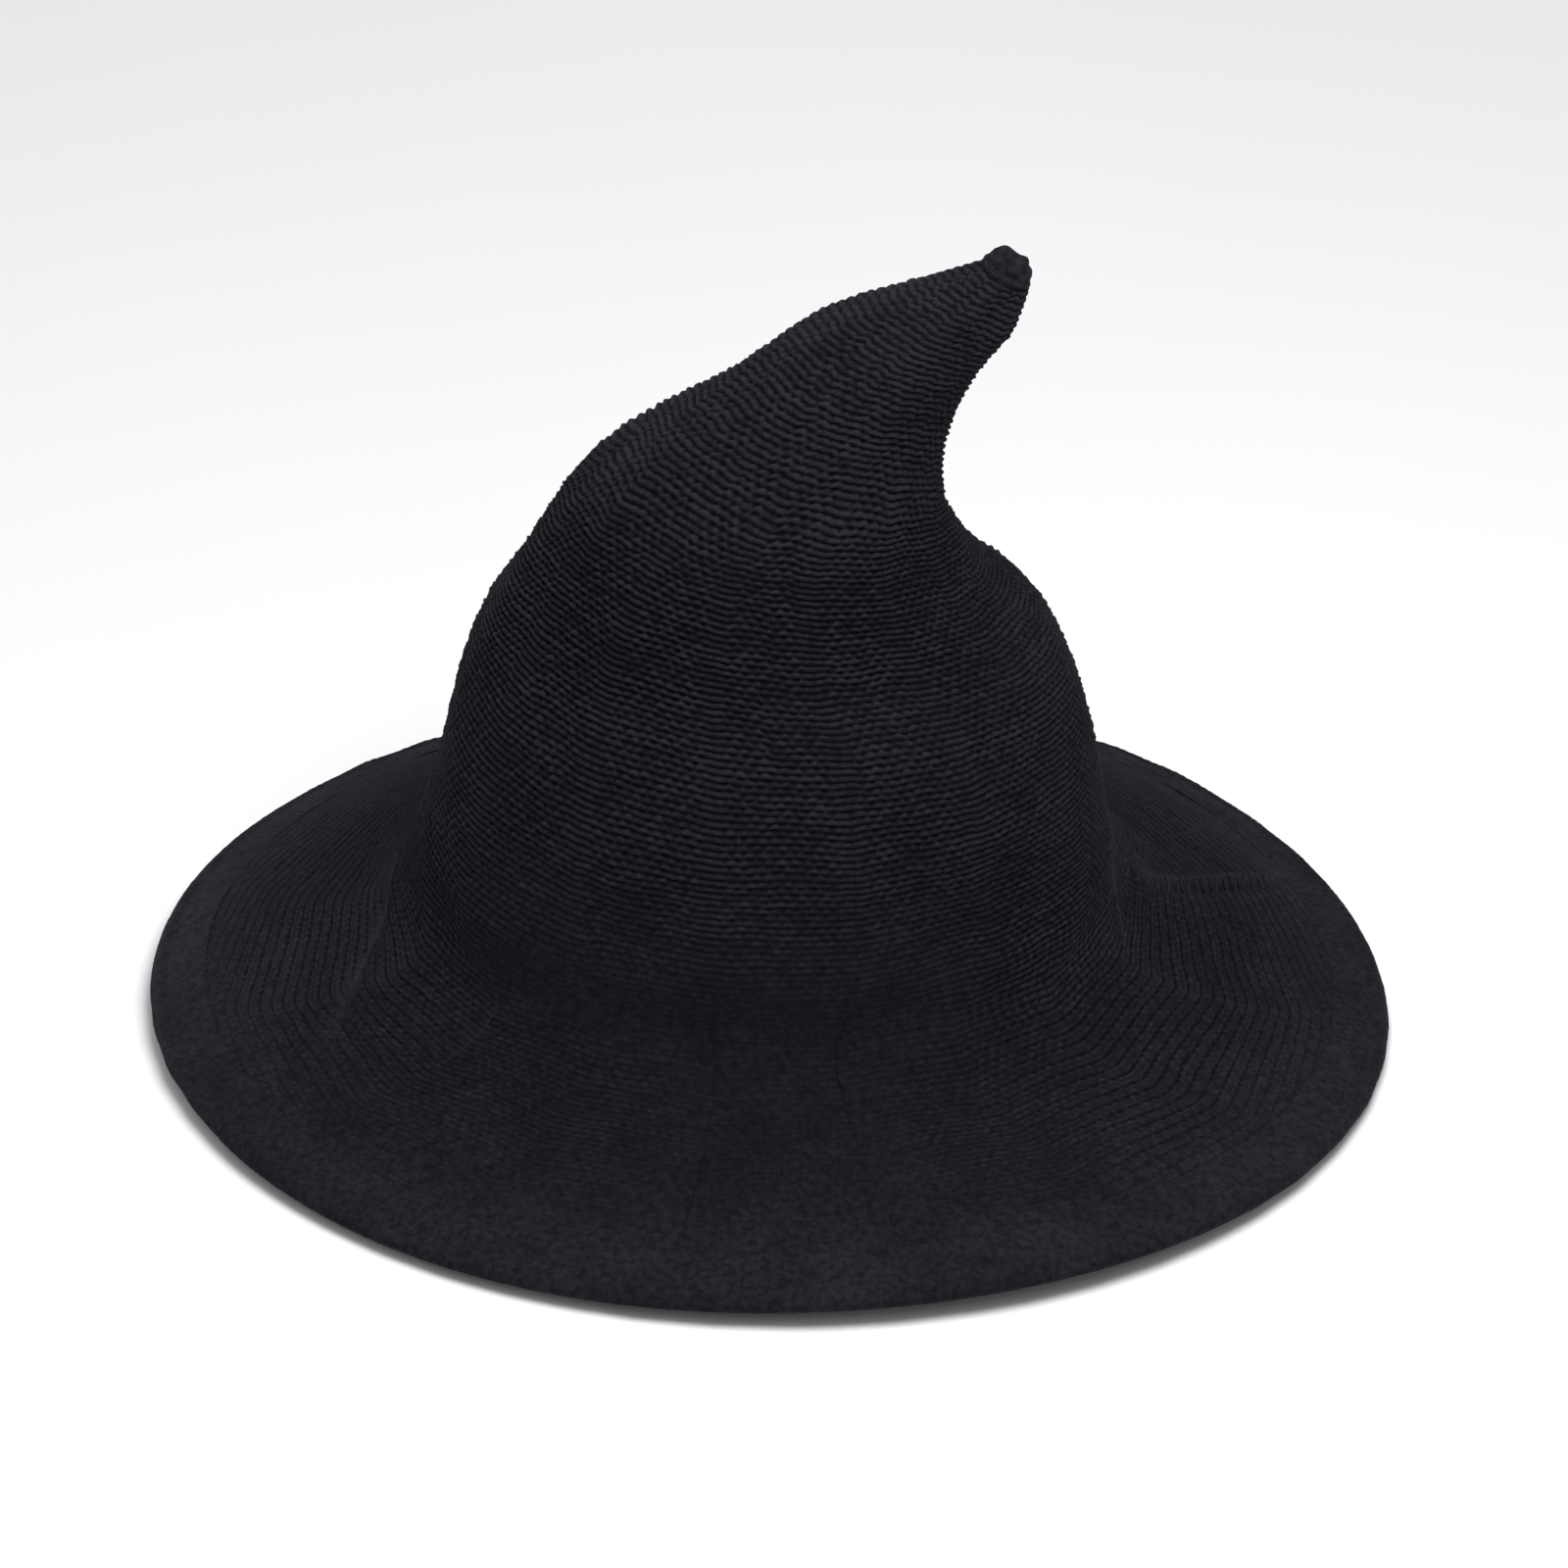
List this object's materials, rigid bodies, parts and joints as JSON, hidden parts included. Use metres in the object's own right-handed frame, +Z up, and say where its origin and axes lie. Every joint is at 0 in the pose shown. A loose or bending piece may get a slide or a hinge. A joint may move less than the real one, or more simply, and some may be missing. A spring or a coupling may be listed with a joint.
{
  "type": "witch hat",
  "caption": "Knitted witch hat: soft crown, a peak that bends at the neck, a wide sloping brim stiffened by a wire hoop in its hem, and a ribbon sweatband.",
  "frame": {"origin": "centre of the circle that the hem's flat underside stands on", "axes": "+Z up out of the crown, +X the side that the peak leans to, +Y the back of the hat"},
  "size_m": [0.3438, 0.3438, 0.242],
  "materials": {
    "wool_knit": "near-black wool knit, matt with a soft nap",
    "hem_knit": "the same yarn pulled smooth over the wire, felted",
    "ribbon": "ribbed grosgrain ribbon, satin",
    "thread": "spun polyester thread",
    "steel_wire": "drawn spring steel",
    "label_satin": "blank woven satin"
  },
  "bodies": {
    "hat": {"brim_knit": "wool_knit", "crown_knit": "wool_knit", "neck_knit": "wool_knit", "hem_fold": "hem_knit", "brim_wire": "steel_wire", "wire_sleeve": "steel_wire", "hem_stitching": "thread", "sweatband": "ribbon", "sweatband_stitching": "thread", "linking_seam": "wool_knit", "label_stitches": "thread"},
    "peak": {"peak_knit": "wool_knit", "tip_gather": "wool_knit"},
    "label": {"care_label": "label_satin"}
  },
  "joints": [
    {"name": "peak_bend", "type": "hinge", "parent": "hat", "child": "peak", "pos_m": [0.001, 0, 0.176], "axis": [0, 1, 0], "range_deg": [-35, 32], "deforming": ["neck_knit"]},
    {"name": "label_flap", "type": "hinge", "parent": "hat", "child": "label", "pos_m": [-0.002, 0.0844, 0.0775], "axis": [-1, 0, 0], "range_deg": [0, 110]}
  ]
}
